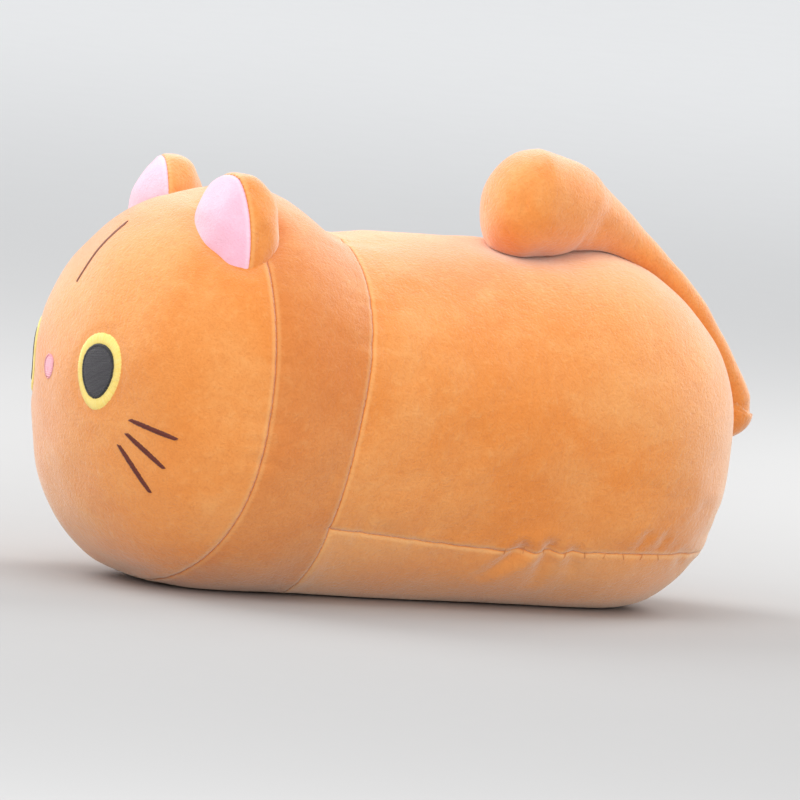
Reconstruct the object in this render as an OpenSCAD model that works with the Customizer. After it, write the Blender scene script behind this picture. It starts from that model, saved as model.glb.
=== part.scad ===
// Loaf-shaped plush cat: a stuffed body in four sewn panels, two padded ears, a padded tail that
// folds up over the back, and an embroidered face. The face looks along -Y, the cat's left is +X,
// and it rests on its flattened belly at z = 0.

/* [Body] */
// Body length from nose to rump, mm
body_length = 338; // [200:1:740]
// Height of the head, mm
head_height = 186; // [100:1:400]
// Height of the back, mm
back_height = 167; // [90:1:380]
// Width of the head, mm
head_width = 180; // [100:1:400]
// Width of the body, mm
body_width = 172; // [90:1:390]
// Length over which the head rounds in to the nose, mm
nose_reach = 92; // [40:1:200]
// Length over which the body rounds in to the rump, mm
rump_reach = 88; // [40:1:200]
// Height of the foremost point of the head, mm
nose_height = 96; // [40:1:200]
// Height of the rearmost point of the rump, mm
rump_height = 78; // [30:1:180]
// Length over which the head narrows into the body, mm
neck_run = 44; // [20:1:150]
// Depth of stuffing pressed flat under the belly, mm
belly_squash = 5; // [1:0.5:15]

/* [Skin and seams] */
// Thickness of the short-pile fabric, mm
skin = 2; // [1:0.1:4]
// Gap left between neighbouring panels, mm
seam_gap = 0.6; // [0.3:0.1:1.5]
// Top of the seam behind the face, back from the nose, mm
face_seam = 77; // [50:1:200]
// How far that seam curves forward under the chin, mm
face_seam_lean = 27; // [0:1:80]
// Top of the seam behind the neck band, back from the nose, mm
band_seam = 133; // [100:1:300]
// How far that seam leans forward at the belly, mm
band_seam_lean = 22; // [0:1:80]
// Height of the seam between back and belly, mm
belly_seam = 30; // [10:1:80]

/* [Ears] */
// Turn of the middle of each ear's front edge out from the nose, degrees
ear_azimuth = 57; // [40:0.5:90]
// Rise of the same point, degrees
ear_rise = 53; // [30:0.5:70]
// Turn of the front edge on the head, its outer end down, degrees
ear_turn = 54; // [0:1:80]
// Width of the ear at its base, mm
ear_width = 52; // [20:1:90]
// Height of the ear tip off the head, mm
ear_height = 19.5; // [10:1:60]
// How far the ear tip leans back along the head, mm
ear_lean = 12.5; // [0:1:60]
// Depth of the ear's base behind its front edge, mm
ear_depth = 24.5; // [10:0.5:60]
// How far the ear's front panel swells forward at its base, mm
ear_bulge = 12; // [0:0.5:24]
// Inward shift of the ear tip, mm
ear_tip_shift = 8; // [0:0.5:14]

/* [Tail] */
// Height of the tail's root over the rearmost point of the rump, mm
tail_rise = 9; // [0:1:30]
// Radius of the tail at its root, mm
tail_root_radius = 7.5; // [5:0.1:20]
// Radius of the slender stretch up the rump, mm
tail_neck_radius = 6.8; // [4:0.1:18]
// Radius of the tail near its tip, mm
tail_tip_radius = 23; // [8:0.1:48]
// Inner radius of the fold at the root, mm
tail_fold = 1.5; // [1:0.1:5]
// Where the tail ends, as an angle from straight up over the rump, degrees
tail_end = -12; // [-30:1:0]
// Where the tail's curl joint lies, as the same angle, degrees
tail_split = 30; // [10:1:60]

/* [Face] */
// Turn of each eye out from the nose, degrees
eye_azimuth = 24.5; // [15:0.5:40]
// Rise of each eye, degrees
eye_rise = 2.5; // [-10:0.5:20]
// Width of the yellow eye ring, mm
eye_width = 27; // [10:0.5:50]
// Height of the yellow eye ring, mm
eye_height = 36; // [15:0.5:60]
// Size of the dark pupil as a share of the ring
pupil_share = 0.7; // [0.4:0.01:0.9]
// Width of the nose, mm
nose_width = 11; // [5:0.5:25]
// Height of the nose, mm
nose_tall = 12; // [5:0.5:25]
// Rise of the lower end of the forehead stripe, degrees
stripe_from = 27; // [10:1:45]
// Rise of the upper end of the forehead stripe, degrees
stripe_to = 49.5; // [40:1:75]
// Width of the forehead stripe, mm
stripe_width = 3; // [1:0.1:8]
// Width of each whisker, mm
whisker_width = 2; // [1:0.1:5]
// Height of the embroidery over the fabric, mm
thread_height = 0.9; // [0.4:0.1:2]

/* [Output] */
// Which piece to draw

/* [Hidden] */

// small distances shared by several pieces
joint_gap = 0.5;      // between pieces that move against each other
pad_gap = 0.3;        // between an ear's two panels, and between the tail's skin and stuffing
fill_gap = 2;         // between the skin of the body and the stuffing inside it
ear_fill_gap = 1;     // the same in an ear
stitch_gap = 0.15;    // between embroidery and the fabric under it
pole = 4;             // angle of the small ring that closes a rounded end
search_steps = 18;    // halvings when looking for the surface along a ray

// powers that set how full each rounding is
end_power_up = 2.05;
end_power_low = 2.5;
side_power_up = 2.1;
side_power_low = 2.5;
face_seam_power = 5;

// positions along the length; the stitched nose and the fold of the tail lie equally far from the origin
tail_out = joint_gap + tail_fold + 2 * tail_root_radius;
nose_y = -(body_length + tail_out - thread_height) / 2;
rump_y = nose_y + body_length;
head_y = nose_y + nose_reach;
rump_centre_y = rump_y - rump_reach;
face_seam_y = nose_y + face_seam;
band_seam_y = nose_y + band_seam;
centre_height = head_height / 2;

// degrees of turn for one millimetre on the face
face_degree = 180 / (PI * nose_reach);

orange = [0.91, 0.6, 0.33];
orange_band = [0.87, 0.56, 0.3];
pink = [0.98, 0.8, 0.87];
yellow = [0.96, 0.87, 0.48];
charcoal = [0.2, 0.19, 0.21];
brown = [0.43, 0.18, 0.1];
filling = [0.96, 0.96, 0.94];

function smooth(x) = let (c = min(1, max(0, x))) c * c * (3 - 2 * c);
function mix(a, b, k) = a * (1 - k) + b * k;
function flat(rows) = [for (row = rows) each row];
function taper(d, reach, power) = d >= reach ? 1 : d <= 0 ? 0 :
    pow(1 - pow(1 - d / reach, power), 1 / power);

// ---- the body surface ----

function neck_share(y) = smooth((y - head_y) / neck_run);
function top_at(y) = mix(head_height, back_height, neck_share(y));
function half_width_at(y) = mix(head_width, body_width, neck_share(y)) / 2;
function core_at(y) = mix(nose_height, rump_height, smooth((y - head_y) / (rump_y - head_y)));

// True inside the body when it is shrunk by t all round
function inside(p, t) =
    let (front = p.y - nose_y - t, rear = rump_y - t - p.y)
    front <= 0 || rear <= 0 ? false :
    let (up = p.z > core_at(p.y),
         power = up ? end_power_up : end_power_low,
         side = up ? side_power_up : side_power_low,
         end = min(taper(front, nose_reach - t, power), taper(rear, rump_reach - t, power)),
         round_end = min(taper(front, nose_reach - t, end_power_up),
                         taper(rear, rump_reach - t, end_power_up)),
         tall = (up ? top_at(p.y) - core_at(p.y) : core_at(p.y) + belly_squash) - t)
    pow(abs(p.x) / ((half_width_at(p.y) - t) * round_end), side)
        + pow(abs(p.z - core_at(p.y)) / (tall * end), side) < 1;

// A ring of rays is [y, face seam lean, band seam lean, angle from +Y, height of its centre]
function ring_y(ring, z) = ring[0]
    - ring[1] * pow(max(0, 1 - z / head_height), face_seam_power)
    - ring[2] * max(0, 1 - z / back_height);
function along(ring, q, m) =
    let (z = ring[4] + m * sin(ring[3]) * sin(q))
    [m * sin(ring[3]) * cos(q), ring_y(ring, z) + m * cos(ring[3]), z];
function meets(ring, q, t, low = 0, high = 260, steps = search_steps) =
    steps == 0 ? low :
    let (m = (low + high) / 2)
    inside(along(ring, q, m), t) ? meets(ring, q, t, m, high, steps - 1)
                                 : meets(ring, q, t, low, m, steps - 1);
function on_skin(ring, q, t) =
    let (m = meets(ring, q, t), down = -sin(ring[3]) * sin(q),
         p = along(ring, q, down > 0 ? min(m, (ring[4] - t) / down) : m))
    [p.x, p.y, max(p.z, t)];
function skin_grid(rings, angles, t) = [for (r = rings) [for (q = angles) on_skin(r, q, t)]];

// Rings between the seams, and over each rounded end
function face_rings(shift) = [for (k = [0:1:11])
    [face_seam_y + shift, face_seam_lean, 0, 90 + (90 - pole) * k / 11, nose_height]];
function band_rings() = [for (k = [0:1:6]) let (share = k / 6)
    [mix(face_seam_y + seam_gap / 2, band_seam_y - seam_gap / 2, share),
     face_seam_lean * (1 - share), band_seam_lean * share, 90, centre_height]];
function rear_rings(height) = concat(
    [for (k = [0:1:8]) let (share = k / 8)
        [mix(band_seam_y + seam_gap / 2, rump_centre_y, share),
         0, band_seam_lean * (1 - share), 90, height]],
    [for (k = [1:1:10]) [rump_centre_y, 0, 0, 90 - (90 - pole) * k / 10, height]]);
function core_rings() = concat(
    [for (k = [0:1:8]) [head_y, 0, 0, 180 - pole - (90 - pole) * k / 8, centre_height]],
    [for (k = [1:1:14]) [mix(head_y, rump_centre_y, k / 14), 0, 0, 90, centre_height]],
    [for (k = [1:1:8]) [rump_centre_y, 0, 0, 90 - (90 - pole) * k / 8, centre_height]]);

// ---- solids from grids of points ----

function quad(a, b, c, d) = [[a, b, c], [a, c, d]];
function strip_faces(a, b, c, d, rows) = [for (r = rows) each quad(a + r, b + r, c + r, d + r)];

// A sheet between an outer and an inner grid; wrapped closes it round, capped closes its last row
module sheet_solid(outer, inner, wrapped = false, capped = false) {
    n = len(outer);
    m = len(outer[0]);
    k = n * m;
    columns = [for (j = [0:1:wrapped ? m - 1 : m - 2]) [j, (j + 1) % m]];
    last = (n - 1) * m;
    faces = concat(
        [for (i = [0:1:n - 2], c = columns) each
            quad(i * m + c[0], i * m + c[1], (i + 1) * m + c[1], (i + 1) * m + c[0])],
        [for (i = [0:1:n - 2], c = columns) each
            quad(k + i * m + c[0], k + (i + 1) * m + c[0], k + (i + 1) * m + c[1], k + i * m + c[1])],
        [for (c = columns) each quad(c[1], c[0], k + c[0], k + c[1])],
        capped ? [[for (j = [0:1:m - 1]) last + j], [for (j = [m - 1:-1:0]) k + last + j]]
               : [for (c = columns) each
                    quad(last + c[0], last + c[1], k + last + c[1], k + last + c[0])],
        wrapped ? [] : [for (i = [0:1:n - 2]) each
            quad(i * m, (i + 1) * m, k + (i + 1) * m, k + i * m)],
        wrapped ? [] : [for (i = [0:1:n - 2]) each
            quad((i + 2) * m - 1, (i + 1) * m - 1, k + (i + 1) * m - 1, k + (i + 2) * m - 1)],
        capped && !wrapped ? quad(last, last + m - 1, k + last + m - 1, k + last) : []);
    polyhedron(points = concat(flat(outer), flat(inner)), faces = faces, convexity = 6);
}

// A solid through a row of closed loops, closed at both ends
module loft(loops) {
    n = len(loops);
    m = len(loops[0]);
    faces = concat(
        [for (i = [0:1:n - 2], j = [0:1:m - 1]) each
            quad(i * m + j, i * m + (j + 1) % m, (i + 1) * m + (j + 1) % m, (i + 1) * m + j)],
        [[for (j = [m - 1:-1:0]) j], [for (j = [0:1:m - 1]) (n - 1) * m + j]]);
    polyhedron(points = flat(loops), faces = faces, convexity = 4);
}

// ---- body ----

round_angles = [for (j = [0:1:47]) j * 7.5];
panel_angles = [for (j = [0:1:26]) j * 180 / 26];

module body_stuffing() {
    color(filling) loft(skin_grid(core_rings(), [for (j = [0:1:35]) j * 10], skin + fill_gap));
}

module face_panel() {
    rings = face_rings(-seam_gap / 2);
    angles = [for (q = round_angles) -q];
    color(orange) sheet_solid(skin_grid(rings, angles, 0), skin_grid(rings, angles, skin),
        wrapped = true, capped = true);
}

module neck_band() {
    color(orange_band) sheet_solid(skin_grid(band_rings(), round_angles, 0),
        skin_grid(band_rings(), round_angles, skin), wrapped = true);
}

module rear_panel(height, angles) {
    rings = rear_rings(height);
    color(orange) sheet_solid(skin_grid(rings, angles, 0), skin_grid(rings, angles, skin),
        capped = true);
}

module back_panel() {
    rear_panel(belly_seam + seam_gap / 2, panel_angles);
}

module belly_panel() {
    rear_panel(belly_seam - seam_gap / 2, [for (q = panel_angles) q - 180]);
}

// ---- embroidery ----

function face_at(azimuth, rise, out) =
    let (d = [sin(azimuth) * cos(rise), -cos(azimuth) * cos(rise), sin(rise)])
    on_skin([head_y, 0, 0, acos(d.y), nose_height], atan2(d.z, d.x), -out);

// An egg-shaped row of points on the face, wider above
function egg(azimuth, rise, wide, tall, share, out) =
    [for (j = [0:1:23]) let (q = -j * 15)
        face_at(azimuth + face_degree * share * wide / 2 * cos(q) * (1 + 0.14 * sin(q)),
                rise + face_degree * share * tall / 2 * sin(q), out)];

module patch_on_face(azimuth, rise, wide, tall, shares, height, capped) {
    sheet_solid([for (s = shares) egg(azimuth, rise, wide, tall, s, height)],
        [for (s = shares) egg(azimuth, rise, wide, tall, s, stitch_gap)],
        wrapped = true, capped = capped);
}

// A low rounded ridge of thread through stations [azimuth, rise, half width]
module thread_on_face(stations, across) {
    loft([for (s = stations) [for (side = [[1, 0], [0.6, 1], [-0.6, 1], [-1, 0]])
        let (w = face_degree * s[2] * side[0])
        face_at(s[0] + w * across[0], s[1] + w * across[1],
            mix(stitch_gap, thread_height, side[1]))]]);
}

module eye_iris() {
    gap_share = 2 * joint_gap / eye_width;
    color(yellow) patch_on_face(eye_azimuth, eye_rise, eye_width, eye_height,
        [1, pupil_share + gap_share], thread_height, false);
}

module eye_pupil() {
    color(charcoal) patch_on_face(eye_azimuth, eye_rise, eye_width, eye_height,
        [pupil_share, pupil_share * 0.6, pupil_share * 0.15], thread_height, true);
}

module nose() {
    color(pink) patch_on_face(0, 1, nose_width, nose_tall, [1, 0.6, 0.15], thread_height, true);
}

module forehead_stripe() {
    color(brown) thread_on_face([for (k = [0:1:6])
        [0, mix(stripe_from, stripe_to, k / 6), stripe_width / 2 * mix(0.6, 1, k / 6)]], [1, 0]);
}

// Each whisker runs from one [azimuth, rise] to another, and tapers at both ends
module whiskers() {
    for (w = [[37.5, -10, 52.5, -14], [36.5, -14, 49, -22.5], [34, -17.5, 44.5, -29.5]])
        color(brown) thread_on_face([for (k = [0:1:6]) let (share = k / 6)
            [mix(w[0], w[2], share), mix(w[1], w[3], share),
             whisker_width / 2 * (1 - 0.6 * pow(abs(2 * share - 1), 3))]],
            [-(w[3] - w[1]), w[2] - w[0]] / norm([w[2] - w[0], w[3] - w[1]]) * -1);
}

// Short hand stitches across the belly seam, where the stuffing opening was closed
module closing_stitches() {
    stitches = 9;
    first = nose_y + 205;
    pitch = 10;
    color(orange_band) for (s = [0:1:stitches - 1])
        loft([for (q = [-1.8, -0.6, 0.6, 1.8]) [for (side = [[-1, 0], [-0.5, 1], [0.5, 1], [1, 0]])
            on_skin([first + pitch * s + side[0] * 0.6, 0, 0, 90, belly_seam], q,
                -mix(stitch_gap, thread_height, side[1]))]]);
}

// ---- ears ----

ear_seat = face_at(ear_azimuth, ear_rise, 0);
ear_up = [sin(ear_azimuth) * cos(ear_rise), -cos(ear_azimuth) * cos(ear_rise), sin(ear_rise)];
ear_level = [cos(ear_azimuth), sin(ear_azimuth), 0];
ear_across = cos(ear_turn) * ear_level - sin(ear_turn) * cross(ear_up, ear_level);
ear_back = sin(ear_turn) * ear_level + cos(ear_turn) * cross(ear_up, ear_level);
ear_slope = atan2(ear_height, ear_lean);
ear_rows = [0, 0.15, 0.32, 0.5, 0.66, 0.8, 0.9, 0.96, 0.985];

function ear_at(a, b, u) = ear_seat + a * ear_across + b * ear_back + u * ear_up;
function ear_floor(a, b, low = -40, high = 40, steps = search_steps) =
    steps == 0 ? high :
    let (m = (low + high) / 2)
    inside(ear_at(a, b, m), 0) ? ear_floor(a, b, m, high, steps - 1)
                               : ear_floor(a, b, low, m, steps - 1);
function ear_scale(row) = pow(1 - pow(row, 1.8), 0.6);

// The point at a row between the base (0) and the tip (1) over x, b of the base's outline;
// ahead shifts it towards the front of the ear
function ear_point(row, x, b, ahead, t) =
    ear_at(x * ear_scale(row) - ear_tip_shift * row,
        b * ear_scale(row) + ear_lean * row - ahead,
        mix(ear_floor(x, b - ahead) + joint_gap, ear_height - t, row));
function ear_rim(row, q, t, set_back = pad_gap) = ear_point(row, (ear_width / 2 - t) * cos(q),
    (ear_depth - t - (set_back - pad_gap) / sin(ear_slope)) * sin(q), -set_back / sin(ear_slope), t);
function ear_crown(x) = -ear_bulge * pow(max(0, 1 - pow(2 * x / ear_width, 2)), 0.8);
function ear_front_row(row, ahead) = [for (q = [0:10:180]) let (x = ear_width / 2 * cos(q))
    ear_point(row, x, ear_crown(x), ahead, 0)];
function ear_front_fill(row, q, t, set_back) = let (x = (ear_width / 2 - t) * cos(q))
    ear_point(row, x, ear_crown(x), -set_back / sin(ear_slope), t);

module ear_front() {
    color(pink) sheet_solid([for (r = ear_rows) ear_front_row(r, skin / sin(ear_slope))],
        [for (r = ear_rows) ear_front_row(r, 0)]);
}

module ear_cover() {
    angles = [for (q = [180:-9:0]) q];
    color(orange) sheet_solid([for (r = ear_rows) [for (q = angles) ear_rim(r, q, 0)]],
        [for (r = ear_rows) [for (q = angles) ear_rim(r, q, skin)]]);
}

module ear_stuffing() {
    color(filling) loft([for (r = ear_rows) if (r > 0.1 && r < 0.95)
        concat([for (q = [180:-15:0]) ear_rim(r, q, skin + ear_fill_gap, pad_gap + ear_fill_gap)],
            [for (q = [15:15:165]) ear_front_fill(r, q, skin + ear_fill_gap, pad_gap + ear_fill_gap)])]);
}

// ---- tail ----

tail_core = [0, rump_centre_y, rump_height + tail_rise + 7];
fold_angle = 90;      // where the fold ends and the tail starts up the rump
tail_swell = 50;      // where it starts to thicken towards the tip
tail_base_angles = [180, 168, 156, 144, 132, 120, 108, 98, 90, 84, 76, 68, 60, 52, 44, 36];
tail_tip_angles = [24, 18, 12, 6, 0, -6];
tip_rounding = [0.2, 0.4, 0.58, 0.73, 0.85, 0.93, 0.98];

function tail_way(a) = [0, sin(a), cos(a)];
function tail_radius(a) = mix(mix(tail_root_radius, tail_neck_radius, smooth((fold_angle - a) / 14)),
    tail_tip_radius, pow(smooth((tail_swell - a) / (tail_swell - tail_end)), 1.4));
function tail_foot(a) = a >= fold_angle
    ? [0, rump_y + joint_gap, rump_height + tail_rise + tail_root_radius + tail_fold]
        + tail_way(a) * tail_fold
    : tail_core + tail_way(a)
        * (meets([tail_core.y, 0, 0, 90 - a, tail_core.z], 90, 0) + joint_gap);
function tail_loop(a, t, share = 0) =
    let (r = (tail_radius(a) - t) * pow(1 - pow(share, 2.3), 1 / 2.3),
         c = tail_foot(a) + tail_way(a) * tail_radius(a)
             - [0, (tail_tip_radius - t) * 0.9 * share, 0])
    [for (j = [0:1:23]) let (q = -j * 15) c + r * (cos(q) * [1, 0, 0] + sin(q) * tail_way(a))];

split_half = 0.25;    // half the gap at the curl joint, degrees
function tail_base_loops(t, trim) = [for (a = concat([180 - trim * 3],
    [for (a = tail_base_angles) if (a < 180) a], [tail_split + split_half + trim]))
    tail_loop(a, t)];
function tail_tip_loops(t, trim) = concat(
    [for (a = concat([tail_split - split_half - trim], tail_tip_angles, [tail_end]))
        tail_loop(a, t)],
    [for (s = tip_rounding) tail_loop(tail_end, t, s)]);

module tail_base_cover() {
    color(orange) sheet_solid(tail_base_loops(0, 0), tail_base_loops(skin, 0), wrapped = true);
}

module tail_base_stuffing() {
    color(filling) loft(tail_base_loops(skin + pad_gap, 1));
}

module tail_tip_cover() {
    color(orange) sheet_solid(tail_tip_loops(0, 0), tail_tip_loops(skin, 0),
        wrapped = true, capped = true);
}

module tail_tip_stuffing() {
    color(filling) loft(tail_tip_loops(skin + pad_gap, 1));
}

// ---- left and right pieces ----

module ear_left_front() { ear_front(); }
module ear_left_back() { ear_cover(); }
module ear_left_stuffing() { ear_stuffing(); }
module ear_right_front() { mirror([1, 0, 0]) ear_front(); }
module ear_right_back() { mirror([1, 0, 0]) ear_cover(); }
module ear_right_stuffing() { mirror([1, 0, 0]) ear_stuffing(); }
module eye_left_iris() { eye_iris(); }
module eye_left_pupil() { eye_pupil(); }
module eye_right_iris() { mirror([1, 0, 0]) eye_iris(); }
module eye_right_pupil() { mirror([1, 0, 0]) eye_pupil(); }
module whiskers_left() { whiskers(); }
module whiskers_right() { mirror([1, 0, 0]) whiskers(); }

body_stuffing();
face_panel();
neck_band();
back_panel();
belly_panel();
closing_stitches();
ear_left_front();
ear_left_back();
ear_left_stuffing();
ear_right_front();
ear_right_back();
ear_right_stuffing();
tail_base_cover();
tail_base_stuffing();
tail_tip_cover();
tail_tip_stuffing();
eye_left_iris();
eye_left_pupil();
eye_right_iris();
eye_right_pupil();
nose();
forehead_stripe();
whiskers_left();
whiskers_right();
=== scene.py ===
"""The looks of a lying plush cat: sewn, stuffed panels, padded ears and tail, and an embroidered face."""

import math
from collections import namedtuple

import bpy
import numpy as np
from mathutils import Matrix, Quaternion, Vector
from mathutils.kdtree import KDTree


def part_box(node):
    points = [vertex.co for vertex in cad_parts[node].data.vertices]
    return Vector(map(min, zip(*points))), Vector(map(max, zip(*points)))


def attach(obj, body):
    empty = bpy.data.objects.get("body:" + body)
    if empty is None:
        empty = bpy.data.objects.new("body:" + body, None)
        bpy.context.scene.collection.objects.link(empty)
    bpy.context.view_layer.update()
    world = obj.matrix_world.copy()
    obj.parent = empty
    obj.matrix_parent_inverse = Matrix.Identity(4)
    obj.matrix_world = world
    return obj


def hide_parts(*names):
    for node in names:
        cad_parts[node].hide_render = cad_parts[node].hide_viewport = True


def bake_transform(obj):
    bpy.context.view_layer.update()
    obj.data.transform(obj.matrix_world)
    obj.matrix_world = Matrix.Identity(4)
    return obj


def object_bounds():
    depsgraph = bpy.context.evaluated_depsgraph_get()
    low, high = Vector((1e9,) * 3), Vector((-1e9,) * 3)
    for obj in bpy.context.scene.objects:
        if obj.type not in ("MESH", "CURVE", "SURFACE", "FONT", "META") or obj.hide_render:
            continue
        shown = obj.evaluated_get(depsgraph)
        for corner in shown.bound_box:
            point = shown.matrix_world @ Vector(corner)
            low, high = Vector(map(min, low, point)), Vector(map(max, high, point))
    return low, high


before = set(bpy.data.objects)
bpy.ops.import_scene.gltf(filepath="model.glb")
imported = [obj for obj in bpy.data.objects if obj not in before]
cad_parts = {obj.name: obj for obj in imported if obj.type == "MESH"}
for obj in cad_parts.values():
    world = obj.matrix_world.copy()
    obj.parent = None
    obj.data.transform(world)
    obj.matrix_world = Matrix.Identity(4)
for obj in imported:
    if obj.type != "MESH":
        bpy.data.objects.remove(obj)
cad_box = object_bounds()

MM = 0.001
SEED = 11

# ---- driving dimensions, in millimetres and degrees; ends and tops come from the frame ----


def box_mm(node):
    low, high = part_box(node)
    return np.array(low) / MM, np.array(high) / MM


NOSE_Y = box_mm("face_panel")[0][1]
RUMP_Y = box_mm("back_panel")[1][1]
HEAD_HEIGHT = 186.0
BACK_HEIGHT = 167.0
HEAD_WIDTH = 180.0
BODY_WIDTH = 172.0
NOSE_REACH = 92.0
RUMP_REACH = 88.0
NOSE_HEIGHT = 96.0
RUMP_HEIGHT = 78.0
NECK_RUN = 44.0
BELLY_SQUASH = 5.0
HEAD_Y = NOSE_Y + NOSE_REACH
RUMP_CENTRE_Y = RUMP_Y - RUMP_REACH
CENTRE_HEIGHT = HEAD_HEIGHT / 2
FACE_SEAM, BAND_SEAM = 77.0, 133.0
FACE_SEAM_Y = NOSE_Y + FACE_SEAM
FACE_LEAN = 27.0
BAND_SEAM_Y = NOSE_Y + BAND_SEAM
BAND_LEAN = 22.0
BELLY_SEAM = 30.0
END_UP, END_LOW, SIDE_UP, SIDE_LOW = 2.05, 2.5, 2.1, 2.5    # how square the body's sections are
FAR_OUT, OUTSIDE = 260.0, 99.0    # a distance past the skin from any inner point, and a value past it
FACE_DEGREE = 180 / (math.pi * NOSE_REACH)

EAR_AZIMUTH, EAR_RISE, EAR_TURN = 57.0, 53.0, 54.0
EAR_WIDTH, EAR_DEPTH, EAR_HEIGHT, EAR_LEAN, EAR_SHIFT = 52.0, 24.5, 19.5, 12.5, 8.0
EAR_BULGE = 12.0

TAIL_RISE = 9.0
TAIL_ROOT, TAIL_NECK, TAIL_TIP, TAIL_FOLD = 7.5, 6.8, 23.0, 1.5
TAIL_END, TAIL_SPLIT, TAIL_SWELL = -12.0, 30.0, 50.0
TAIL_LAST = -12.0

EYE_AZIMUTH, EYE_RISE, EYE_WIDTH, EYE_HEIGHT, PUPIL_SHARE = 24.5, 2.5, 27.0, 36.0, 0.68
NOSE_RISE, NOSE_WIDTH, NOSE_TALL = 1, 11, 12
STRIPE = 27, 49.5    # the rises of the forehead line's ends
WHISKER_WIDTH = 2.3
SIDES = (1, "left"), (-1, "right")
WHISKERS = [[37.5, -10, 52.5, -14], [36.5, -14, 49, -22.5], [34, -17.5, 44.5, -29.5]]


# ---- small mathematics ----


def smooth(x):
    c = np.clip(x, 0, 1)
    return c * c * (3 - 2 * c)


def mix(a, b, k):
    return a * (1 - k) + b * k


def taper(d, reach, power):
    return (1 - (1 - np.clip(d / reach, 0, 1)) ** power) ** (1 / power)


def unit(v):
    return v / np.maximum(np.linalg.norm(v, axis=-1, keepdims=True), 1e-9)


def heading(azimuth, elevation):
    """The direction turned by an azimuth from the nose and raised by an elevation, in degrees."""
    a, e = np.radians(azimuth), np.radians(elevation)
    return np.stack(np.broadcast_arrays(np.sin(a) * np.cos(e), -np.cos(a) * np.cos(e), np.sin(e)), -1)


def tree_of(points):
    """The points, sorted for finding the nearest."""
    tree = KDTree(len(points))
    for i, p in enumerate(points):
        tree.insert(p, i)
    tree.balance()
    return tree


def rolled_edge(d, width):
    """From 0 at a width away to 1 at a seam: the round shoulder of cloth that a seam pulls in."""
    k = np.clip(1 - d / width, 0, 1)
    return 1 - np.sqrt(np.maximum(1 - k * k, 0))


def edge_steps(count, fine, ends=2):
    """Shares from 0 to 1 that crowd together at the first end, or at both, over a share fine."""
    t = np.linspace(0, 1, count)
    if ends == 2:
        s = 0.5 - 0.5 * np.cos(np.pi * t)
        return mix(t, s, fine)
    return mix(t, t * t, fine)


class Noise:
    """Smooth random bumps: a few hundred seeded waves of one average length."""

    def __init__(self, length, seed, waves=26):
        rng = np.random.default_rng(seed)
        way = unit(rng.normal(size=(waves, 3)))
        self.k = way * (2 * np.pi / (length * rng.uniform(0.7, 1.5, (waves, 1))))
        self.phase = rng.uniform(0, 2 * np.pi, waves)
        self.size = (2 / waves) ** 0.5

    def __call__(self, p):
        return np.sin(p @ self.k.T + self.phase).sum(-1) * self.size


# ---- the body's surface ----


def body_value(p):
    """Below 1 inside the body and above 1 outside, for points in millimetres."""
    x, y, z = p[..., 0], p[..., 1], p[..., 2]
    front, rear = y - NOSE_Y, RUMP_Y - y
    neck = smooth((y - HEAD_Y) / NECK_RUN)
    core = mix(NOSE_HEIGHT, RUMP_HEIGHT, smooth((y - HEAD_Y) / (RUMP_Y - HEAD_Y)))
    up = z > core
    power, side = np.where(up, END_UP, END_LOW), np.where(up, SIDE_UP, SIDE_LOW)
    end = np.minimum(taper(front, NOSE_REACH, power), taper(rear, RUMP_REACH, power))
    round_end = np.minimum(taper(front, NOSE_REACH, END_UP), taper(rear, RUMP_REACH, END_UP))
    tall = np.where(up, mix(HEAD_HEIGHT, BACK_HEIGHT, neck) - core, core + BELLY_SQUASH)
    half = mix(HEAD_WIDTH, BODY_WIDTH, neck) / 2
    value = (np.abs(x) / np.maximum(half * round_end, 1e-3)) ** side
    value = value + (np.abs(z - core) / np.maximum(tall * end, 1e-3)) ** side
    return np.where((front <= 0) | (rear <= 0), OUTSIDE, value)


def body_normal(p, step=0.4):
    """Outward normals of the body near p."""
    g = np.zeros(p.shape)
    for i in range(3):
        d = np.zeros(3)
        d[i] = step
        g[..., i] = np.minimum(body_value(p + d), 9) - np.minimum(body_value(p - d), 9)
    return unit(g)


def reach(point_at, shape, low, high, steps):
    """The furthest distance still in the body, for each of many rays, halving the doubt at every step."""
    low, high = np.full(shape, low), np.full(shape, high)
    for _ in range(steps):
        m = (low + high) / 2
        within = body_value(point_at(m)) < 1
        low, high = np.where(within, m, low), np.where(within, high, m)
    return low


def ring_y(ring, z):
    return (ring[0] - ring[1] * np.maximum(0, 1 - z / HEAD_HEIGHT) ** 5
            - ring[2] * np.maximum(0, 1 - z / BACK_HEIGHT))


def along(ring, q, m):
    """The points at distance m along the rays of a ring [y, face lean, band lean, turn from +Y, height]."""
    turn = np.radians(ring[3])
    z = ring[4] + m * np.sin(turn) * np.sin(q)
    return np.stack([m * np.sin(turn) * np.cos(q), ring_y(ring, z) + m * np.cos(turn), z], -1)


def on_body(ring, q):
    """Where the rays of a ring leave the body; ring's entries and q are arrays of one shape."""
    return along(ring, q, reach(lambda m: along(ring, q, m), q.shape, 0.0, FAR_OUT, 26))


def ring_grid(y, face_lean, band_lean, turn, height, q):
    """A grid of points on the body from a column of rings and a row of angles, in degrees."""
    columns = [np.broadcast_to(np.asarray(v, float)[:, None], (len(turn), len(q)))
               for v in (y, face_lean, band_lean, turn, height)]
    return on_body(columns, np.broadcast_to(np.radians(q)[None, :], (len(turn), len(q))))


def settle(p, softness=3.0):
    """Presses the underside flat on the floor with a soft edge."""
    z = 0.5 * (p[..., 2] + np.sqrt(p[..., 2] ** 2 + softness ** 2))
    lowest = 0.5 * (math.sqrt(BELLY_SQUASH ** 2 + softness ** 2) - BELLY_SQUASH)
    out = p.copy()
    out[..., 2] = np.maximum(z - lowest * np.exp(-z / 6), 0)
    return out


# ---- seams ----


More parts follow.
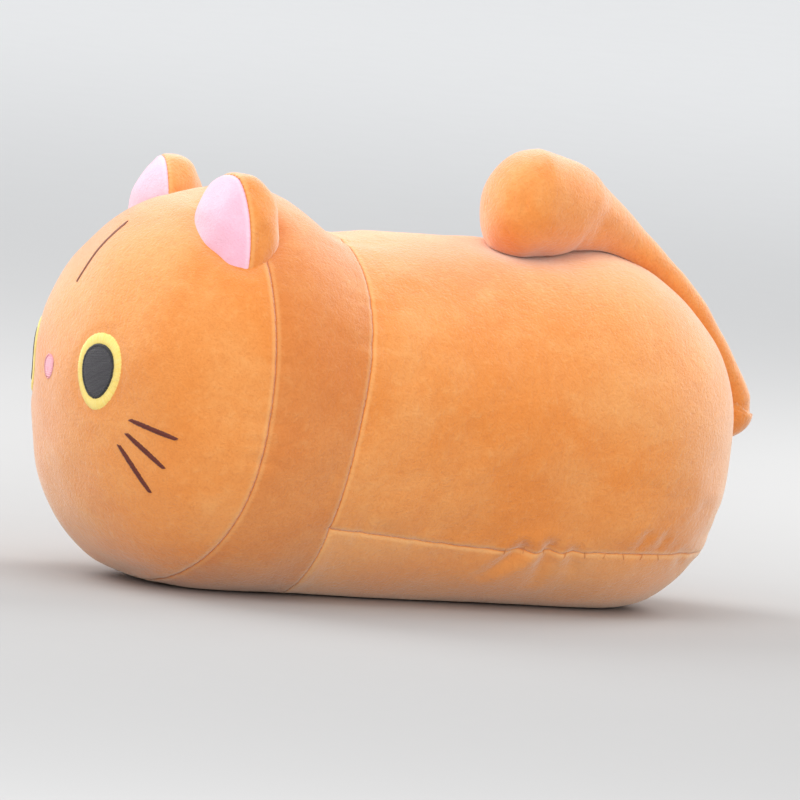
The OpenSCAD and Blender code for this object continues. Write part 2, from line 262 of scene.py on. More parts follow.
class Seam:
    """A sewn line on the body, with the distance from it and the place along it of any point."""

    def __init__(self, points, depth=1.7, width=3.6, seed=0, puckers=0.0):
        self.depth, self.width = depth, width
        steps = np.linalg.norm(np.diff(points, axis=0), axis=1)
        self.length = np.concatenate([[0], np.cumsum(steps)])
        self.tree = tree_of(points)
        rng = np.random.default_rng(seed)
        count = int(self.length[-1] / 13 * puckers)
        self.gathers = np.stack([rng.uniform(0, self.length[-1], count), rng.uniform(1.8, 3.6, count),
                                 rng.uniform(4, 10, count), rng.uniform(0.15, 0.5, count)], 1)

    def near(self, p):
        """(distance, length along the seam) for an array of points."""
        flat = p.reshape(-1, 3)
        found = [self.tree.find(v)[1:] for v in flat]
        index = np.array([f[0] for f in found])
        distance = np.array([f[1] for f in found])
        return distance.reshape(p.shape[:-1]), self.length[index].reshape(p.shape[:-1])


def seam_relief(seam, d, s):
    """How far the cloth sinks (below zero) beside a seam: rolled edge, wide pull, stitches, gathers."""
    out = -seam.depth * rolled_edge(d, seam.width)
    out -= 0.5 * np.exp(-(d / 8) ** 1.3)
    out -= 0.22 * (0.5 + 0.5 * np.sin(s * 2 * np.pi / 3.1)) * np.exp(-(d / 1.7) ** 2)
    for at, wide, reach, size in seam.gathers:
        out -= size * np.exp(-((s - at) / wide) ** 2) * np.exp(-d / reach)
        out += 0.5 * size * np.exp(-((np.abs(s - at) - 2.2 * wide) / wide) ** 2) * np.exp(-d / reach)
    return out


def face_ring(q):
    return ring_grid([FACE_SEAM_Y], [FACE_LEAN], [0], [90], [NOSE_HEIGHT], q)[0]


def band_ring(q):
    return ring_grid([BAND_SEAM_Y], [0], [BAND_LEAN], [90], [CENTRE_HEIGHT], q)[0]


def rear_columns(count, crowd=0.55):
    """Rings of the rear panels as (y, band lean, turn, height): along the barrel, then over the rump."""
    share = edge_steps(count, crowd, ends=1)
    barrel = 0.46
    t = np.clip(share / barrel, 0, 1)
    over = np.clip((share - barrel) / (1 - barrel), 0, 1)
    y = mix(BAND_SEAM_Y, RUMP_CENTRE_Y, t)
    lean = BAND_LEAN * (1 - t)
    turn = 90 - 89.4 * over
    height = BELLY_SEAM + 5.0 * (1 - smooth(t / 0.8)) - 1.5 * np.sin(np.pi * t)
    return y, np.zeros(count), lean, turn, height


def make_seams():
    around = np.linspace(0, 360, 1400)
    rings = rear_columns(500, 0)
    right = ring_grid(*rings, np.array([180.0]))[:, 0]
    left = ring_grid(*rings, np.array([0.0]))[:, 0]
    return {"face": Seam(face_ring(around), 0.9, 2.4, 1, 0.6),
            "band": Seam(band_ring(around), 0.9, 2.4, 2, 0.6),
            "belly": Seam(np.concatenate([left, right[::-1]]), 0.9, 2.6, 3, 0.8)}


SEAMS = make_seams()

# creases at the hand-closed opening on the cat's left: y of the upper end, its height over the
# seam, then the same for the lower end, with width and depth
OPENING_CREASES = [
    [37, 0, 22, -13, 3.4, 2.4], [50, 1, 49, -16, 3.6, 2.6], [62, 0, 66, -12, 3.0, 1.4],
    [97, 10, 93, 0, 2.4, 1.0], [108, 9, 105, 0, 2.4, 0.8], [122, 0, 128, -10, 3.0, 0.8],
]
REAR_DART = [[58, 118, 146], [64, 124, 132]]


def side_point(y, height):
    """A point of the cat's left side at a y and a height."""
    return on_body(np.array([y, 0, 0, 90, height]), np.array(0.0))


def crease(p, start, end, width, depth):
    """The relief of one crease between two points, with a soft lip on each side."""
    run = end - start
    size = np.linalg.norm(run)
    t = np.clip(((p - start) @ run) / size ** 2, 0, 1)
    d = np.linalg.norm(p - (start + t[..., None] * run), axis=-1)
    fade = 1 - 0.75 * t ** 1.5
    return fade * depth * (0.4 * np.exp(-((d - 2.2 * width) / (1.2 * width)) ** 2)
                           - np.exp(-(d / width) ** 2))


def creases():
    out = []
    for y0, up0, y1, up1, width, depth in OPENING_CREASES:
        out.append((side_point(y0, BELLY_SEAM + up0), side_point(y1, BELLY_SEAM + up1), width, depth))
    out.append((np.array(REAR_DART[0], float), np.array(REAR_DART[1], float), 2.2, 1.1))
    return out


CREASES = creases()
LUMPS, DENTS = Noise(62, SEED), Noise(27, SEED + 1)
ALLOWANCE = 4.0    # how deep the cloth is folded in at a seam


# ---- stuffing under pressure ----


class Plump:
    """How far a pressed and pinned cloth stands off its first shape, read back at any point."""

    def __init__(self, points, offsets):
        self.offsets = offsets
        self.tree = tree_of(points)

    def __call__(self, p):
        flat = p.reshape(-1, 3)
        out = np.empty(len(flat))
        for i, v in enumerate(flat):
            near = self.tree.find_n(v, 6)
            w = np.array([1 / (n[2] ** 2 + 4) for n in near])
            out[i] = (w * self.offsets[[n[1] for n in near]]).sum() / w.sum()
        return out.reshape(p.shape[:-1])


def all_round(ends, barrel, edge, columns):
    """Points all over the body: rings over the face, along the barrel and over the rump."""
    turn = np.concatenate([np.linspace(180 - edge, 90, ends), np.full(barrel, 90.0),
                           np.linspace(90, edge, ends)])
    y = np.concatenate([np.full(ends, HEAD_Y), np.linspace(HEAD_Y, RUMP_CENTRE_Y, barrel + 2)[1:-1],
                        np.full(ends, RUMP_CENTRE_Y)])
    zero = np.zeros(len(turn))
    return ring_grid(y, zero, zero, turn, zero + CENTRE_HEIGHT, np.linspace(0, 360, columns, endpoint=False))


def press_body(voxel=4.6, frames=16, cap=3.2):
    """Cloth simulation of the body's skin: seams and the resting belly held, the rest blown out."""
    cage = grid_object("cage", settle(all_round(34, 44, 1.5, 120)), wrap=True, caps=True)
    remesh = cage.modifiers.new("voxels", "REMESH")
    remesh.mode, remesh.voxel_size = "VOXEL", voxel * MM
    apply_modifiers(cage)
    start = vertices(cage) / MM
    normal = body_normal(start)
    near = np.min([seam.near(start)[0] for seam in SEAMS.values()], axis=0)
    held = np.maximum(np.exp(-(near / 3.2) ** 2), start[:, 2] < 2.5)
    set_vertices(cage, (start - normal * (1.3 * np.exp(-(near / 5) ** 2))[:, None]) * MM)
    begin = vertices(cage) / MM
    group = cage.vertex_groups.new(name="held")
    for i in np.nonzero(held > 0.15)[0]:
        group.add([int(i)], float(held[i]), "REPLACE")
    cloth = cage.modifiers.new("cloth", "CLOTH")
    s = cloth.settings
    s.quality, s.mass = 5, 0.25
    s.tension_stiffness = s.compression_stiffness = 12
    s.shear_stiffness, s.bending_stiffness = 4, 0.35
    s.vertex_group_mass = "held"
    s.shrink_min = -0.035
    s.use_pressure, s.uniform_pressure_force = True, 4
    s.effector_weights.gravity = 0
    for f in range(1, frames + 1):
        bpy.context.scene.frame_set(f)
    settled = bpy.context.evaluated_depsgraph_get()
    end = vertices(cage.evaluated_get(settled)) / MM
    bpy.context.scene.frame_set(1)
    bpy.data.objects.remove(cage)
    offset = ((end - begin) * normal).sum(1)
    free = held < 0.1
    offset = offset - np.median(offset[free]) * (1 - np.clip(held * 2, 0, 1))
    return Plump(start, np.clip(offset, -cap, cap))


# ---- meshes ----


def vertices(obj):
    co = np.empty(len(obj.data.vertices) * 3, np.float32)
    obj.data.vertices.foreach_get("co", co)
    return co.reshape(-1, 3).astype(float)


def set_vertices(obj, co):
    obj.data.vertices.foreach_set("co", co.astype(np.float32).ravel())
    obj.data.update()


def apply_modifiers(obj):
    graph = bpy.context.evaluated_depsgraph_get()
    new = bpy.data.meshes.new_from_object(obj.evaluated_get(graph))
    obj.modifiers.clear()
    obj.data = new


def mesh_object(name, points, faces, material=None):
    mesh = bpy.data.meshes.new(name)
    mesh.from_pydata((points * MM).tolist(), [], faces)
    mesh.update()
    mesh.polygons.foreach_set("use_smooth", [True] * len(mesh.polygons))
    obj = bpy.data.objects.new(name, mesh)
    bpy.context.scene.collection.objects.link(obj)
    if material:
        mesh.materials.append(MATERIALS[material])
    return obj


def grid_faces(rows, columns, wrap=False):
    last = columns if wrap else columns - 1
    i, j = np.meshgrid(np.arange(rows - 1), np.arange(last), indexing="ij")
    k = (j + 1) % columns
    corners = [i * columns + j, i * columns + k, (i + 1) * columns + k, (i + 1) * columns + j]
    return np.stack(corners, -1).reshape(-1, 4)


def grid_object(name, grid, out=None, wrap=False, caps=False, material=None):
    """A mesh from a grid of points, looking the way of out. caps closes its last row, or both if True."""
    rows, columns = grid.shape[:2]
    if out is None:
        out = grid - grid.mean((0, 1))
    flip = (grid_normals(grid, wrap) * out).sum() < 0
    faces = grid_faces(rows, columns, wrap).tolist()
    if caps:
        faces.append(list(range((rows - 1) * columns, rows * columns)))
    if caps is True:
        faces.append(list(range(columns - 1, -1, -1)))
    if flip:
        faces = [f[::-1] for f in faces]
    return mesh_object(name, grid.reshape(-1, 3), faces, material)


def note(obj, name, values):
    """Writes one value for each vertex, for the materials to read."""
    layer = obj.data.attributes.new(name, "FLOAT", "POINT")
    layer.data.foreach_set("value", np.asarray(values, np.float32).ravel())


def note_cloth(obj, points):
    """Writes each vertex's place on the cloth, in metres, so that the pile stays with it as it moves."""
    layer = obj.data.attributes.new("cloth", "FLOAT_VECTOR", "POINT")
    layer.data.foreach_set("vector", np.asarray(points * MM, np.float32).ravel())


# ---- skin of the body ----


def press_under_thread(p):
    """The pile lies flat under the embroidery."""
    out = np.zeros(p.shape[:-1])
    for side in (1, -1):
        c = face_at(EYE_AZIMUTH * side, EYE_RISE)[0]
        d = (p - c) / np.array([EYE_WIDTH * 0.56, EYE_WIDTH * 0.56, EYE_HEIGHT * 0.54])
        out -= 0.55 * smooth((1.25 - np.linalg.norm(d, axis=-1)) / 0.35)
    return out


def relief(p, parts):
    """(relief along the normal, distance to the nearest seam) of the body's skin at points p."""
    out = 0.45 * LUMPS(p) + 0.14 * DENTS(p) + 0.45 * np.maximum(PLUMP(p), -0.6)
    nearest = np.full(p.shape[:-1], 99.0)
    held = np.ones(p.shape[:-1])
    sewn = np.zeros(p.shape[:-1])
    for name in parts:
        d, s = SEAMS[name].near(p)
        ease = 1 - 0.6 * smooth((p[..., 1] - RUMP_CENTRE_Y - 45) / 25) if name == "belly" else 1
        sewn += ease * seam_relief(SEAMS[name], d, s)
        held = np.minimum(held, smooth(d / 9))
        nearest = np.minimum(nearest, d)
    out = out * held + sewn
    if "belly" in parts:
        for c in CREASES:
            out += crease(p, *c)
    for side in (1, -1):
        out += ear_press(p, side)
    return out + press_under_thread(p) - tail_press(p), nearest


def turned_in(skin, rest, nearest, normal, axis, last):
    """A panel's grids with their first or last line repeated, as the allowance folded in at a seam."""
    line = [slice(None), slice(None)]
    line[axis] = slice(-1, None) if last else slice(0, 1)
    line = tuple(line)
    fold = skin[line] - normal[line] * ALLOWANCE, rest[line], nearest[line] * 0, normal[line]
    pairs = zip((skin, rest, nearest, normal), fold)
    return [np.concatenate([grid, extra] if last else [extra, grid], axis) for grid, extra in pairs]


def skin_object(name, grid, material, parts, flanges):
    """A panel of skin from a grid on the body. flanges names the edges that turn in at a seam."""
    normal = body_normal(grid)
    offset, nearest = relief(grid, parts)
    grids = settle(grid + normal * offset[..., None]), grid, nearest, normal
    for edge, axis, last in (("first", 0, False), ("last", 0, True), ("sides", 1, False), ("sides", 1, True)):
        if edge in flanges:
            grids = turned_in(*grids, axis, last)
    skin, rest, nearest, normal = grids
    skin[..., 2] = np.maximum(skin[..., 2], 0)
    obj = grid_object(name, skin, normal, wrap="sides" not in flanges,
                      caps="last" if "cap" in flanges else False, material=material)
    note_cloth(obj, rest)
    note(obj, "seam", nearest)
    return obj


def make_body():
    q = np.linspace(0, 360, 420, endpoint=False)
    t = edge_steps(118, 0.5, ends=1)
    one = np.ones(len(t))
    face = ring_grid(FACE_SEAM_Y * one, FACE_LEAN * one, 0 * one, 90 + 89.4 * t, NOSE_HEIGHT * one, q)
    t = edge_steps(60, 0.5)
    band = ring_grid(mix(FACE_SEAM_Y, BAND_SEAM_Y, t), FACE_LEAN * (1 - t), BAND_LEAN * t,
                     np.full(len(t), 90.0), np.full(len(t), CENTRE_HEIGHT), q)
    rings = rear_columns(210)
    back = ring_grid(*rings, 180 * edge_steps(290, 0.35))
    belly = ring_grid(*rings, -180 + 180 * edge_steps(170, 0.45))
    for name, grid, material, slot, node, parts, flanges in (
            ("face", face, "orange_plush", "orange_plush", "face_panel", ("face",), ("first", "cap")),
            ("neck_band", band, "band_plush", "band_plush", "neck_band", ("face", "band", "belly"),
             ("first", "last")),
            ("back", back, "orange_plush", "orange_plush", "back_panel", ("band", "belly"),
             ("first", "sides")),
            ("belly", belly, "belly_plush", "band_plush", "belly_panel", ("band", "belly"),
             ("first", "sides"))):
        piece = skin_object(f"{name}_plush", grid, material, parts, flanges)
        hand_in(piece, node, "body")


def hand_in(piece, node, body):
    """Hides the CAD part a piece replaces and hangs the piece on the named body it rides on, or, given
    (parent, child, start, end), only bakes its transform in place.
    """
    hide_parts(node)
    if isinstance(body, str):
        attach(piece, body)
    else:
        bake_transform(piece)


def make_stuffing():
    grid = all_round(22, 26, 2, 90)
    tufts = Noise(14, SEED + 5)
    out = grid - body_normal(grid) * (8 + 1.2 * tufts(grid))[..., None]
    out[..., 2] = np.maximum(out[..., 2], 4)
    piece = grid_object("body_fibre", out, wrap=True, caps=True, material="fibre_fill")
    note_cloth(piece, grid)
    hand_in(piece, "body_stuffing", "body")


# ---- ears ----


def face_at(azimuth, rise):
    """(points, normals) on the head in directions from its centre, in degrees."""
    d = heading(azimuth, rise)
    centre = np.array([0, HEAD_Y, NOSE_HEIGHT])
    p = centre + reach(lambda m: centre + m[..., None] * d, d.shape[:-1], 0.0, FAR_OUT, 26)[..., None] * d
    return p, body_normal(p)


class EarFrame:
    """The left ear's own axes: across, back and up from the middle of its front edge."""

    def __init__(self):
        az, turn = math.radians(EAR_AZIMUTH), math.radians(EAR_TURN)
        self.seat = face_at(EAR_AZIMUTH, EAR_RISE)[0]
        self.up = heading(EAR_AZIMUTH, EAR_RISE)
        level = np.array([math.cos(az), math.sin(az), 0])
        side = np.cross(self.up, level)
        self.across = math.cos(turn) * level - math.sin(turn) * side
        self.back = math.sin(turn) * level + math.cos(turn) * side

    def at(self, a, b, u):
        return (self.seat + np.multiply.outer(a, self.across) + np.multiply.outer(b, self.back)
                + np.multiply.outer(u, self.up))

    def floor(self, a, b):
        """Height of the head's skin in the ear's frame."""
        return reach(lambda m: self.at(a, b, m), np.shape(a), -40.0, 40.0, 22)


EAR = EarFrame()


def mirrored(p, side):
    return p * np.array([side, 1, 1])


def ear_crown(x):
    """How far the front panel swells forward at its base."""
    return -EAR_BULGE * np.maximum(0, 1 - (2 * x / EAR_WIDTH) ** 2) ** 0.8


def ear_grid(part, rows, columns, sink=3.5, inset=0.0):
    """One panel of the left ear, from its base to its tip, with the pads' bulge."""
    t = np.linspace(0, 1, rows)[:, None]
    row = np.minimum((1 - (1 - t) ** 1.6) ** (1 / 1.8), 0.9995)
    scale = (1 - row ** 1.8) ** 0.6
    wide, deep = EAR_WIDTH / 2 - inset, EAR_DEPTH - inset
    if part == "front":
        s = np.sin(np.linspace(-np.pi / 2, np.pi / 2, columns))[None, :] + 0 * row
        x = wide * s
        b = ear_crown(x * EAR_WIDTH / 2 / wide)
        puff = 1.6 * (1 - s * s) ** 0.8 * np.sin(np.pi * row) ** 0.8
        ahead = -puff
    else:
        q = np.pi * (0.5 - 0.5 * np.cos(np.linspace(0, np.pi, columns)))[None, :] + 0 * row
        x = wide * np.cos(q)
        b = deep * np.sin(q) ** 0.92
        puff = 0.9 * np.sin(q) * np.sin(np.pi * row) ** 0.8
        ahead = 0 * puff
    base = EAR.floor(x, b) - sink
    a = x * scale - EAR_SHIFT * row
    b = b * scale + EAR_LEAN * row + ahead
    return EAR.at(a, b, mix(base, EAR_HEIGHT - inset, row ** 0.92) + 0.5 * puff)


def ear_rim():
    """The seam between the ear's two panels, as points on the left ear."""
    grid = ear_grid("front", 120, 3)
    return np.concatenate([grid[:, 0], grid[::-1, -1]])


def ear_base():
    """The line where the left ear meets the head."""
    q = np.linspace(0, 2 * np.pi, 160)
    x = EAR_WIDTH / 2 * np.cos(q)
    b = np.where(np.sin(q) >= 0, EAR_DEPTH * np.abs(np.sin(q)) ** 0.92, ear_crown(x))
    return EAR.at(x, b, EAR.floor(x, b))


EAR_BASE = Seam(ear_base())
EAR_RIM = Seam(ear_rim(), 0.9, 2.4)


def ear_press(p, side):
    """The head's skin dips where an ear is sewn on."""
    out = np.zeros(p.shape[:-1])
    q = mirrored(p, side)
    close = np.linalg.norm(q - EAR.seat, axis=-1) < 70
    if close.any():
        d = EAR_BASE.near(q[close])[0]
        out[close] = -1.1 * np.exp(-(d / 3.4) ** 1.4)
    return out


def make_ears():
    for side, name in SIDES:
        body = f"ear_{name}"
        start = mirrored(EAR.seat + EAR.up * 0.5, side) * MM
        end = mirrored(EAR.seat + EAR.up * 9.0 + EAR.back * 4, side) * MM
        for part, columns, slot in (("front", 90, "pink_plush"), ("back", 130, "orange_plush")):
            grid = ear_grid(part, 90, columns)
            normal = grid_normals(grid)
            middle = EAR.at(0, EAR_DEPTH * 0.25, 6.0)
            normal *= np.sign(((grid - middle) * normal).sum(-1).mean())
            d, s = EAR_RIM.near(grid)
            offset = -EAR_RIM.depth * rolled_edge(d, EAR_RIM.width)
            offset -= 0.12 * np.sin(s * 2 * np.pi / 2.6) * np.exp(-(d / 1.4) ** 2)
            offset += 0.35 * DENTS(grid * 1.6) * smooth(d / 5)
            out = mirrored(grid + normal * offset[..., None], side)
            piece = grid_object(f"ear_{name}_{part}_plush", out, mirrored(normal, side), material=slot)
            note_cloth(piece, mirrored(grid, side))
            note(piece, "seam", d)
            hand_in(piece, f"ear_{name}_{part}", ("body", body, start, end))
        fill = ear_grid("back", 30, 30, inset=3)[:26]
        piece = grid_object(f"ear_{name}_fibre", mirrored(fill, side), wrap=True, material="fibre_fill")
        note_cloth(piece, mirrored(fill, side))
        hand_in(piece, f"ear_{name}_stuffing", ("body", body, start, end))


def grid_normals(grid, wrap=False):
    """Normals of a grid's points from its neighbours."""
    if wrap:
        around = np.roll(grid, -1, 1) - np.roll(grid, 1, 1)
    else:
        around = np.gradient(grid, axis=1)
    down = np.gradient(grid, axis=0)
    return unit(np.cross(around, down))


# ---- tail ----


def tail_way(a):
    a = np.radians(a)
    return np.stack([0 * a, np.sin(a), np.cos(a)], -1)


TAIL_CORE = np.array([0, RUMP_CENTRE_Y, RUMP_HEIGHT + TAIL_RISE + 7])


def tail_radius(a):
    slim = mix(TAIL_ROOT, TAIL_NECK, smooth((90 - a) / 14))
    return mix(slim, TAIL_TIP, smooth((TAIL_SWELL - a) / (TAIL_SWELL - TAIL_END)) ** 1.4)


def tail_centre(a):
    """The centre of the tail at an angle of its own path."""
    way = tail_way(a)
    foot = np.array([0, RUMP_Y + 0.5, RUMP_HEIGHT + TAIL_RISE + TAIL_ROOT + TAIL_FOLD]) + way * TAIL_FOLD
    low = a < 90
    if low.any():
        n = int(low.sum())
        ring = [np.full((n, 1), v) for v in (TAIL_CORE[1], 0, 0)] + [90 - a[low][:, None],
                                                                     np.full((n, 1), TAIL_CORE[2])]
        skin = on_body(ring, np.full((n, 1), np.pi / 2))[:, 0]
        foot[low] = skin + way[low] * 0.5
    return foot + way * tail_radius(a)[:, None]


def spline(points, count):
    """A smooth curve of count points through the given rows, evenly spaced."""
    p = np.concatenate([2 * points[:1] - points[1:2], points, 2 * points[-1:] - points[-2:-1]])
    t = np.linspace(0, len(points) - 1, 40 * len(points))
    i = np.minimum(t.astype(int), len(points) - 2)
    u = (t - i)[:, None]
    a, b, c, d = p[i], p[i + 1], p[i + 2], p[i + 3]
    curve = 0.5 * (2 * b + (c - a) * u + (2 * a - 5 * b + 4 * c - d) * u ** 2
                   + (3 * b - a - 3 * c + d) * u ** 3)
    run = np.concatenate([[0], np.cumsum(np.linalg.norm(np.diff(curve[:, :3], axis=0), axis=1))])
    even = np.linspace(0, run[-1], count)
    return np.stack([np.interp(even, run, curve[:, k]) for k in range(points.shape[1])], 1)


TAIL_STATIONS = np.array([180, 168, 156, 144, 132, 120, 108, 98, 90, 80, 70, 60, 50, 42, 34, 27, 20, 13,
                          6, 0, TAIL_LAST])


def tail_line(count=190):
    """Rows of (x, y, z, radius, angle) down the middle of the tail, root first."""
    a = TAIL_STATIONS.astype(float)
    rows = np.concatenate([tail_centre(a), tail_radius(a)[:, None], a[:, None]], 1)
    return spline(rows, count)


TAIL_REST = np.array([16.0, 50.0, 164.0])


def tail_press(p):
    """How deep the heavy tip of the tail sinks into the back at p."""
    return 4.5 * np.exp(-(np.linalg.norm((p - TAIL_REST) * np.array([1.0, 0.8, 1.0]), axis=-1) / 19) ** 2)


def out_of_body(p):
    """Moves points that lie in the body out to its skin, or into the dent that the tail has pressed."""
    first = p.copy()
    for _ in range(10):
        value = body_value(p)
        inside = value < 1.01
        if not inside.any():
            break
        n = body_normal(p[inside])
        step = 0.25
        slope = (body_value(p[inside] + n * step) - value[inside]) / step
        p[inside] += n * np.clip((1.01 - value[inside]) / np.maximum(slope, 1e-3), 0, 3)[:, None]
    sunk = np.linalg.norm(p - first, axis=-1)
    back = np.minimum(sunk, np.maximum(tail_press(p) - 0.3, 0))
    return p - body_normal(p) * back[:, None]


def tail_grid(columns=96):
    """(grid, angles, share round) of the whole tail's skin, from inside the rump to the closed tip."""
    line = tail_line()
    c, r, a = line[:, :3].copy(), line[:, 3].copy(), line[:, 4]
    tangent = unit(np.gradient(c, axis=0))
    out_way = unit(np.cross(tangent, np.array([1.0, 0, 0])))
    tip = smooth((32 - a) / 46)
    c[:, 0] += 13.0 * tip
    c[:, 2] -= 4.0 * tip
    slim = 1.3 * np.exp(-((a - 14) / 15) ** 2)
    hug = 2.6 * smooth((a + 2) / 16) * smooth((86 - a) / 24)
    r = r + 2.9 * smooth((12 - a) / 26) - slim
    c -= tail_way(a) * (slim + hug)[:, None]
    lump = np.exp(-((a - 118) / 26) ** 2)
    pinch = np.exp(-((a - 90) / 5.5) ** 2)
    r = r * (1 + 0.16 * lump - 0.1 * pinch)
    cap = np.sin(np.linspace(0, 1, 40)[1:] * np.pi / 2)
    cap_r = np.maximum(1 - cap ** 2.3, 0) ** (1 / 2.3)
    way = unit(tangent[-1] + np.array([0.14, 0, -0.16]))
    end = c[-1]
    caps_c = end + np.multiply.outer(cap * r[-1] * 0.98, way)
    caps_out = out_way[-1]
    c = np.concatenate([c, caps_c])
    r = np.concatenate([r, r[-1] * cap_r])
    out_way = np.concatenate([out_way, np.repeat(caps_out[None], len(cap), 0)])
    a = np.concatenate([a, TAIL_LAST - 14 * cap])
    root = 6
    into = unit(c[0] - c[3])
    c = np.concatenate([c[0] + into * np.linspace(9, 1.5, root)[:, None], c])
    r = np.concatenate([np.full(root, r[0]), r])
    out_way = np.concatenate([np.repeat(out_way[:1], root, 0), out_way])
    a = np.concatenate([np.linspace(186, 181, root), a])
    q = np.linspace(0, 2 * np.pi, columns, endpoint=False)
    x_way = np.array([1.0, 0, 0])
    grid = (c[:, None] + r[:, None, None] * (np.cos(q)[None, :, None] * x_way
                                             + np.sin(q)[None, :, None] * out_way[:, None, :]))
    return grid, a, q, r


def outward_normals(grid):
    """Normals of a closed tube's grid, pointing out of it, with a rounded end for its last rows."""
    normal = grid_normals(grid, wrap=True)
    normal *= np.sign(((grid - grid.mean(1, keepdims=True)) * normal).sum(-1).mean())
    end = unit(grid[-1].mean(0) - grid[-30].mean(0))
    share = smooth(np.linspace(-1, 1, 6))[:, None, None]
    normal[-6:] = unit(mix(normal[-6:], end, share))
    return normal


def make_tail():
    grid, a, q, r = tail_grid()
    normal = outward_normals(grid)
    angle = a[:, None] + 0 * q[None, :]
    near = np.cos(q)[None, :] + 0 * angle
    inner = -np.sin(q)[None, :] + 0 * angle
    around = np.arctan2(np.cos(q), -np.sin(q))[None, :] * r[:, None]
    offset = 0.2 * DENTS(grid * 1.3) + 0.3 * LUMPS(grid * 1.5)
    offset -= 1.2 * rolled_edge(np.abs(around), 2.6) * smooth((a[:, None] + 20) / 12)
    offset -= 1.5 * np.exp(-((angle - 92) / 2.2) ** 2) * smooth(0.6 - inner)
    offset -= 0.8 * np.exp(-((angle - 104) / 1.6) ** 2) * smooth(near)
    offset -= 0.5 * np.exp(-((angle - 11 + 3 * near) / 2.4) ** 2) * smooth((near - 0.3) / 0.5)
    grid = grid + normal * offset[..., None]
    mark = TAIL_LAST - 8
    for at, size, reach in ((mark, 1.3, 0.5), (mark - 2.6, 0.7, 0.4)):
        tuck = np.exp(-((angle - at) / 0.9) ** 2) * np.exp(-((q[None, :] - 0.1) / reach) ** 2)
        grid = grid - normal * (size * tuck)[..., None]
    free = a < 150
    grid[free] = out_of_body(grid[free].reshape(-1, 3)).reshape(grid[free].shape)
    cut = int(np.argmax(a < TAIL_SPLIT + 1.5))
    normals = outward_normals(grid)
    root_low = np.array([0, RUMP_Y + 1, RUMP_HEIGHT + TAIL_RISE - 3]) * MM
    fold_top = np.array([0, RUMP_Y + 9, RUMP_HEIGHT + TAIL_RISE + 14]) * MM
    curl = grid[[cut, cut + 22]].mean(1) * MM
    spans = (("base", slice(0, cut + 1), "body", "tail_base", root_low, fold_top, False),
             ("tip", slice(cut, None), "tail_base", "tail_tip", curl[0], curl[1], "last"))
    for name, rows, parent, child, start, end, caps in spans:
        part = grid[rows]
        piece = grid_object(f"tail_{name}_plush", part, normals[rows], wrap=True, caps=caps,
                            material="orange_plush")
        note_cloth(piece, part)
        note(piece, "seam", np.minimum(np.abs(around[rows]) + 1.5, 30))
        piece.data.normals_split_custom_set_from_vertices(normals[rows].reshape(-1, 3).tolist())
        hand_in(piece, f"tail_{name}_cover", (parent, child, start, end))
        core = part[0 if caps else 8::2, ::4]
        middle = core.mean(1, keepdims=True)
        core = middle + (core - middle) * 0.66
        fibre = grid_object(f"tail_{name}_fibre", core, wrap=True, caps=True, material="fibre_fill")
        note_cloth(fibre, core)
        hand_in(fibre, f"tail_{name}_stuffing", (parent, child, start, end))


# ---- embroidery ----


def on_face(azimuth, rise, height):
    """Points a height over the finished skin of the face."""
    p, n = face_at(azimuth, rise)
    offset, _ = relief(p, ("face",))
    return p + n * (offset + height)[..., None]


def tubes(name, paths, radius, material, sides=6, tone=None):
    """One mesh of many threads. paths is (threads, points, 3), radius (threads, points) or a number."""
    threads, count = paths.shape[:2]
    radius = np.broadcast_to(radius, (threads, count))
    tangent = unit(np.gradient(paths, axis=1))
    normal = body_normal(paths)
    side = unit(np.cross(tangent, normal))
    normal = np.cross(side, tangent)
    q = np.linspace(0, 2 * np.pi, sides, endpoint=False)
    ring = (paths[:, :, None] + radius[..., None, None]
            * (np.cos(q)[:, None] * side[:, :, None] + np.sin(q)[:, None] * normal[:, :, None]))
    one = grid_faces(count, sides, wrap=True)
    faces = (one[None] + (np.arange(threads) * count * sides)[:, None, None]).reshape(-1, 4).tolist()
    obj = mesh_object(name, ring.reshape(-1, 3), faces, material)
    tone = np.random.default_rng(SEED).uniform(0, 1, threads) if tone is None else tone
    note(obj, "tone", np.repeat(tone, count * sides))
    note_cloth(obj, ring.reshape(-1, 3))
    return obj


Spot = namedtuple("Spot", "azimuth rise wide tall")
EGG = 0.14    # how much wider an egg shape is above its middle


def egg(spot, share, q):
    """Directions on an egg-shaped outline, wider above."""
    return (spot.azimuth + FACE_DEGREE * share * spot.wide / 2 * np.cos(q) * (1 + EGG * np.sin(q)),
            spot.rise + FACE_DEGREE * share * spot.tall / 2 * np.sin(q))


def padded_patch(spot, share, height, material, tone):
    """A low dome of underlay that the stitches lie on."""
    q = np.linspace(0, 2 * np.pi, 72, endpoint=False)[None, :]
    s = np.sin(np.linspace(np.pi / 2, 0.02, 14))[:, None]
    az, el = egg(spot, share * s, q)
    dome = mix(-0.6, height, (1 - s ** 6)) + 0 * q
    patch = grid_object("patch", on_face(az, el, dome), face_at(az, el)[1], wrap=True, caps="last",
                        material=material)
    note(patch, "tone", np.full(len(patch.data.vertices), tone))
    return patch


def satin_ring(spot, inner, outer, pitch, height, material, seed):
    """Stitches laid side by side across a ring."""
    rng = np.random.default_rng(seed)
    count = int(math.pi * (spot.wide + spot.tall) / 2 * outer / pitch)
    q = (np.arange(count) + rng.uniform(-0.15, 0.15, count))[:, None] * 2 * np.pi / count
    t = np.linspace(0, 1, 9)[None, :]
    far = outer + rng.uniform(-0.012, 0.012, (count, 1))
    near = inner + rng.uniform(-0.012, 0.012, (count, 1))
    az, el = egg(spot, mix(near, far, t), q + 0.02 * (t - 0.5))
    rise_up = mix(-0.3, height, np.sin(np.pi * t) ** 0.5) + 0 * q
    return tubes("ring", on_face(az, el, rise_up), 0.24, material, tone=rng.uniform(0, 1, count))


